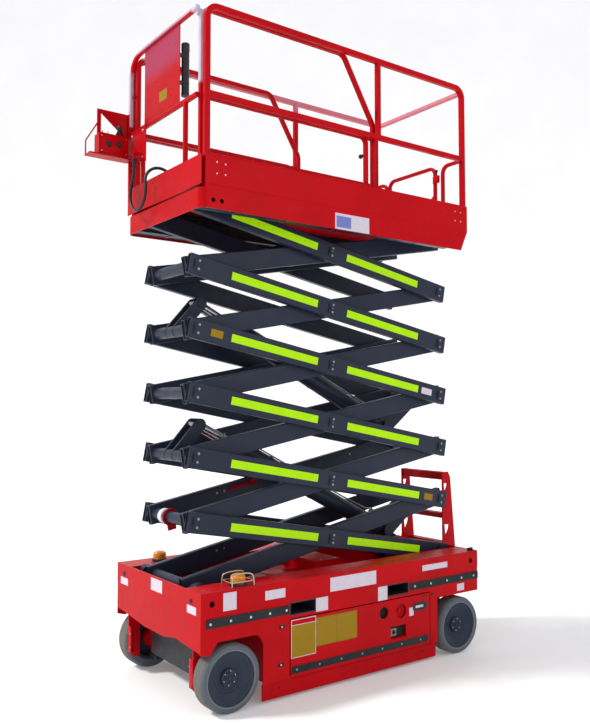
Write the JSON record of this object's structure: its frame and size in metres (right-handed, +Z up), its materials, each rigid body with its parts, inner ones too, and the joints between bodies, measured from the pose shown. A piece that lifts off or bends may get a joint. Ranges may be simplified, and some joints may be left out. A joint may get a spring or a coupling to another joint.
{
  "type": "self-propelled electric scissor lift",
  "caption": "Self-propelled scissor lift with railed platform, slide-out deck, stacked scissor arms and wheeled chassis.",
  "frame": {"origin": "on the ground under the middle of the whole machine", "axes": "+Z up, +X towards the ladder end, -Y is the left side"},
  "size_m": [2.836, 1.18, 4.305],
  "materials": {
    "red_paint": "gloss",
    "arm_paint": "satin",
    "dark_metal": "satin",
    "steel": "satin",
    "chrome_rod": "polished",
    "tyre_rubber": "matte",
    "black_rubber": "matte",
    "black_plastic": "matte",
    "amber_lens": "gloss",
    "battery_case": "matte"
  },
  "bodies": {
    "chassis": {"chassis_side_left": "red_paint", "chassis_side_right": "red_paint", "chassis_well": "red_paint", "fork_pockets": "red_paint", "chassis_front_panel": "red_paint", "chassis_rear_panel": "red_paint", "well_cover": "red_paint", "stack_base_mounts": "dark_metal", "front_axle": "dark_metal", "rear_axle": "dark_metal", "ladder": "red_paint", "beacons": "amber_lens", "bumper_strips": "black_rubber"},
    "outer_1": {"outer_arms_1": "arm_paint"},
    "inner_1": {"inner_arms_1": "arm_paint"},
    "outer_2": {"outer_arms_2": "arm_paint"},
    "inner_2": {"inner_arms_2": "arm_paint"},
    "outer_3": {"outer_arms_3": "arm_paint"},
    "inner_3": {"inner_arms_3": "arm_paint"},
    "outer_4": {"outer_arms_4": "arm_paint"},
    "inner_4": {"inner_arms_4": "arm_paint"},
    "outer_5": {"outer_arms_5": "arm_paint"},
    "inner_5": {"inner_arms_5": "arm_paint"},
    "outer_6": {"outer_arms_6": "arm_paint"},
    "inner_6": {"inner_arms_6": "arm_paint"},
    "cylinder_lower_barrel": {"lift_cylinder_lower_barrel": "dark_metal"},
    "cylinder_lower_rod": {"lift_cylinder_lower_rod": "chrome_rod"},
    "cylinder_upper_barrel": {"lift_cylinder_upper_barrel": "dark_metal"},
    "cylinder_upper_rod": {"lift_cylinder_upper_rod": "chrome_rod"},
    "platform": {"platform_deck": "red_paint", "platform_underframe": "dark_metal", "guard_rail_left": "red_paint", "guard_rail_right": "red_paint", "entry_frame": "red_paint"},
    "extension": {"extension_deck": "red_paint", "extension_rails": "red_paint", "document_tube": "black_plastic", "control_box": "red_paint", "control_box_bracket": "red_paint", "control_box_cable": "black_plastic"},
    "gate": {"entry_gate": "red_paint"},
    "wheel_front_left": {"tyre_front_left": "tyre_rubber", "rim_front_left": "arm_paint"},
    "wheel_front_right": {"tyre_front_right": "tyre_rubber", "rim_front_right": "arm_paint"},
    "wheel_rear_left": {"tyre_rear_left": "tyre_rubber", "rim_rear_left": "arm_paint"},
    "wheel_rear_right": {"tyre_rear_right": "tyre_rubber", "rim_rear_right": "arm_paint"},
    "knuckle_left": {"steering_knuckle_left": "red_paint"},
    "knuckle_right": {"steering_knuckle_right": "red_paint"},
    "tie_rod": {"tie_rod": "dark_metal"},
    "tray_left": {"tray_left": "red_paint", "tray_left_batteries": "black_plastic"},
    "tray_right": {"tray_right": "red_paint", "tray_right_power_unit": "black_plastic"},
    "guard_left": {"pothole_guard_left": "red_paint"},
    "guard_right": {"pothole_guard_right": "red_paint"}
  },
  "joints": [
    {"name": "lift", "type": "hinge", "parent": "chassis", "child": "outer_1", "pos_m": [1.14834, 0, 0.691], "axis": [0, 1, 0], "range_deg": [-6.9, 46.4]},
    {"name": "middle_pivot_1", "type": "hinge", "parent": "outer_1", "child": "inner_1", "pos_m": [0.0735, 0, 0.89215], "axis": [0, 1, 0], "range_deg": [-95.2, 16.2]},
    {"name": "end_pivot_1", "type": "hinge", "parent": "inner_1", "child": "outer_2", "pos_m": [1.14834, 0, 1.0933], "axis": [0, 1, 0], "range_deg": [-16.2, 95.2]},
    {"name": "middle_pivot_2", "type": "hinge", "parent": "outer_2", "child": "inner_2", "pos_m": [0.0735, 0, 1.29445], "axis": [0, 1, 0], "range_deg": [-95.2, 16.2]},
    {"name": "end_pivot_2", "type": "hinge", "parent": "inner_2", "child": "outer_3", "pos_m": [1.14834, 0, 1.4956], "axis": [0, 1, 0], "range_deg": [-16.2, 95.2]},
    {"name": "middle_pivot_3", "type": "hinge", "parent": "outer_3", "child": "inner_3", "pos_m": [0.0735, 0, 1.69675], "axis": [0, 1, 0], "range_deg": [-95.2, 16.2]},
    {"name": "end_pivot_3", "type": "hinge", "parent": "inner_3", "child": "outer_4", "pos_m": [1.14834, 0, 1.8979], "axis": [0, 1, 0], "range_deg": [-16.2, 95.2]},
    {"name": "middle_pivot_4", "type": "hinge", "parent": "outer_4", "child": "inner_4", "pos_m": [0.0735, 0, 2.09906], "axis": [0, 1, 0], "range_deg": [-95.2, 16.2]},
    {"name": "end_pivot_4", "type": "hinge", "parent": "inner_4", "child": "outer_5", "pos_m": [1.14834, 0, 2.30021], "axis": [0, 1, 0], "range_deg": [-16.2, 95.2]},
    {"name": "middle_pivot_5", "type": "hinge", "parent": "outer_5", "child": "inner_5", "pos_m": [0.0735, 0, 2.50136], "axis": [0, 1, 0], "range_deg": [-95.2, 16.2]},
    {"name": "end_pivot_5", "type": "hinge", "parent": "inner_5", "child": "outer_6", "pos_m": [1.14834, 0, 2.70251], "axis": [0, 1, 0], "range_deg": [-16.2, 95.2]},
    {"name": "middle_pivot_6", "type": "hinge", "parent": "outer_6", "child": "inner_6", "pos_m": [0.0735, 0, 2.90366], "axis": [0, 1, 0], "range_deg": [-95.2, 16.2]},
    {"name": "platform_pivot", "type": "hinge", "parent": "inner_6", "child": "platform", "pos_m": [1.14834, 0, 3.10481], "axis": [0, 1, 0], "range_deg": [-8.1, 47.6]},
    {"name": "cylinder_foot_lower", "type": "hinge", "parent": "inner_1", "child": "cylinder_lower_barrel", "pos_m": [0.82299, 0, 0.85031], "axis": [0, 1, 0], "range_deg": [-15.16, 89.08]},
    {"name": "cylinder_stroke_lower", "type": "slide", "parent": "cylinder_lower_barrel", "child": "cylinder_lower_rod", "axis": [-0.8912, 0, 0.4537], "range_m": [-0.16601, 0.97527]},
    {"name": "cylinder_foot_upper", "type": "hinge", "parent": "inner_3", "child": "cylinder_upper_barrel", "pos_m": [0.82299, 0, 1.65491], "axis": [0, 1, 0], "range_deg": [-15.16, 89.08]},
    {"name": "cylinder_stroke_upper", "type": "slide", "parent": "cylinder_upper_barrel", "child": "cylinder_upper_rod", "axis": [-0.8912, 0, 0.4537], "range_m": [-0.16601, 0.97527]},
    {"name": "extension_slide", "type": "slide", "parent": "platform", "child": "extension", "axis": [-1, 0, 0], "range_m": [0, 0.9]},
    {"name": "gate_hinge", "type": "hinge", "parent": "platform", "child": "gate", "pos_m": [1.2055, 0.335, 3.485], "axis": [0, 0, 1], "range_deg": [-85, 0]},
    {"name": "steer", "type": "hinge", "parent": "chassis", "child": "knuckle_left", "pos_m": [-0.9015, -0.44, 0.203], "axis": [0, 0, 1], "range_deg": [-55, 55]},
    {"name": "steer_right", "type": "hinge", "parent": "chassis", "child": "knuckle_right", "pos_m": [-0.9015, 0.44, 0.203], "axis": [0, 0, 1], "range_deg": [-56.2, 56.2]},
    {"name": "tie_rod_pivot", "type": "hinge", "parent": "knuckle_left", "child": "tie_rod", "pos_m": [-0.7835, -0.44, 0.107], "axis": [0, 0, 1], "range_deg": [-56.2, 56.2]},
    {"name": "wheel_front_left_spin", "type": "hinge", "parent": "knuckle_left", "child": "wheel_front_left", "pos_m": [-0.9015, -0.5265, 0.203], "axis": [0, 1, 0], "continuous": true},
    {"name": "wheel_rear_left_spin", "type": "hinge", "parent": "chassis", "child": "wheel_rear_left", "pos_m": [1.0535, -0.5265, 0.203], "axis": [0, 1, 0], "continuous": true},
    {"name": "wheel_front_right_spin", "type": "hinge", "parent": "knuckle_right", "child": "wheel_front_right", "pos_m": [-0.9015, 0.5265, 0.203], "axis": [0, 1, 0], "continuous": true},
    {"name": "wheel_rear_right_spin", "type": "hinge", "parent": "chassis", "child": "wheel_rear_right", "pos_m": [1.0535, 0.5265, 0.203], "axis": [0, 1, 0], "continuous": true},
    {"name": "tray_left_hinge", "type": "hinge", "parent": "chassis", "child": "tray_left", "pos_m": [-0.4715, -0.583, 0.31], "axis": [0, 0, 1], "range_deg": [-95, 0]},
    {"name": "tray_right_hinge", "type": "hinge", "parent": "chassis", "child": "tray_right", "pos_m": [-0.4715, 0.583, 0.31], "axis": [0, 0, 1], "range_deg": [0, 95]},
    {"name": "pothole_guard_slide", "type": "slide", "parent": "chassis", "child": "guard_left", "axis": [0, 0, 1], "range_m": [0, 0.08]},
    {"name": "pothole_guard_slide_right", "type": "slide", "parent": "chassis", "child": "guard_right", "axis": [0, 0, 1], "range_m": [-0.001, 0.081]}
  ],
  "couplings": [
    {"joint": "middle_pivot_1", "follows": "lift", "ratio": -2},
    {"joint": "end_pivot_1", "follows": "lift", "ratio": 2},
    {"joint": "middle_pivot_2", "follows": "lift", "ratio": -2},
    {"joint": "end_pivot_2", "follows": "lift", "ratio": 2},
    {"joint": "middle_pivot_3", "follows": "lift", "ratio": -2},
    {"joint": "end_pivot_3", "follows": "lift", "ratio": 2},
    {"joint": "middle_pivot_4", "follows": "lift", "ratio": -2},
    {"joint": "end_pivot_4", "follows": "lift", "ratio": 2},
    {"joint": "middle_pivot_5", "follows": "lift", "ratio": -2},
    {"joint": "end_pivot_5", "follows": "lift", "ratio": 2},
    {"joint": "middle_pivot_6", "follows": "lift", "ratio": -2},
    {"joint": "platform_pivot", "follows": "lift", "ratio": 1},
    {"joint": "cylinder_foot_lower", "follows": "lift", "ratio": 1.8714},
    {"joint": "cylinder_stroke_lower", "follows": "lift", "m_per_rad": 1.1738},
    {"joint": "cylinder_foot_upper", "follows": "lift", "ratio": 1.8714},
    {"joint": "cylinder_stroke_upper", "follows": "lift", "m_per_rad": 1.1738},
    {"joint": "steer_right", "follows": "steer", "ratio": 1},
    {"joint": "tie_rod_pivot", "follows": "steer", "ratio": -1},
    {"joint": "pothole_guard_slide_right", "follows": "pothole_guard_slide", "ratio": 1}
  ]
}
